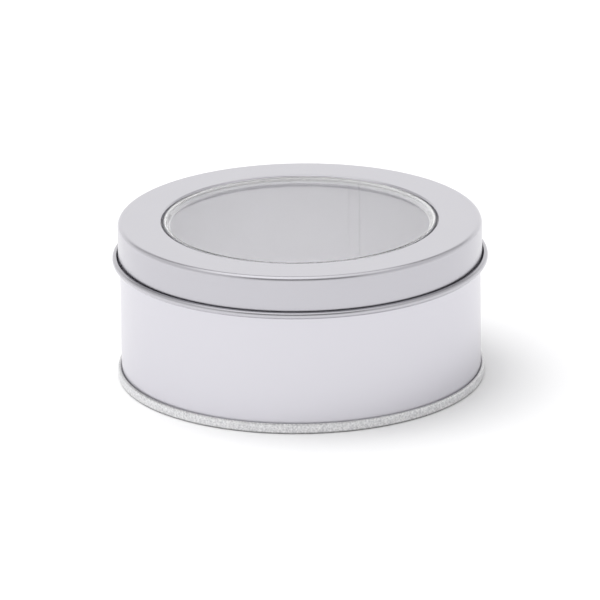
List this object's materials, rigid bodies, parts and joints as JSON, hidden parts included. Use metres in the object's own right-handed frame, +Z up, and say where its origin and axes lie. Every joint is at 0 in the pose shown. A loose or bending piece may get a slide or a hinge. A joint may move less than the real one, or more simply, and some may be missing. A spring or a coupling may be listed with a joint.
{
  "type": "window lid tin",
  "caption": "Round tinplate storage tin with a slip-on lid that has a clear window, a rolled skirt edge and a double-seamed base.",
  "frame": {"origin": "centre of the circle that the foot stands on", "axes": "+Z up along the tin's axis, from the base to the window; +Y to the back of the tin, with the side seam a little to its right"},
  "size_m": [0.0928, 0.0928, 0.04],
  "materials": {
    "tinplate": "satin",
    "tinplate_base": "satin",
    "clear_pane": "gloss"
  },
  "bodies": {
    "tin": {"body_shell": "tinplate", "bottom_end": "tinplate_base"},
    "lid": {"lid_shell": "tinplate", "window_pane": "clear_pane", "window_retaining_ring": "tinplate"}
  },
  "joints": [
    {"name": "lid_lift", "type": "slide", "parent": "tin", "child": "lid", "axis": [0, 0, 1], "range_m": [0, 0.05]}
  ]
}
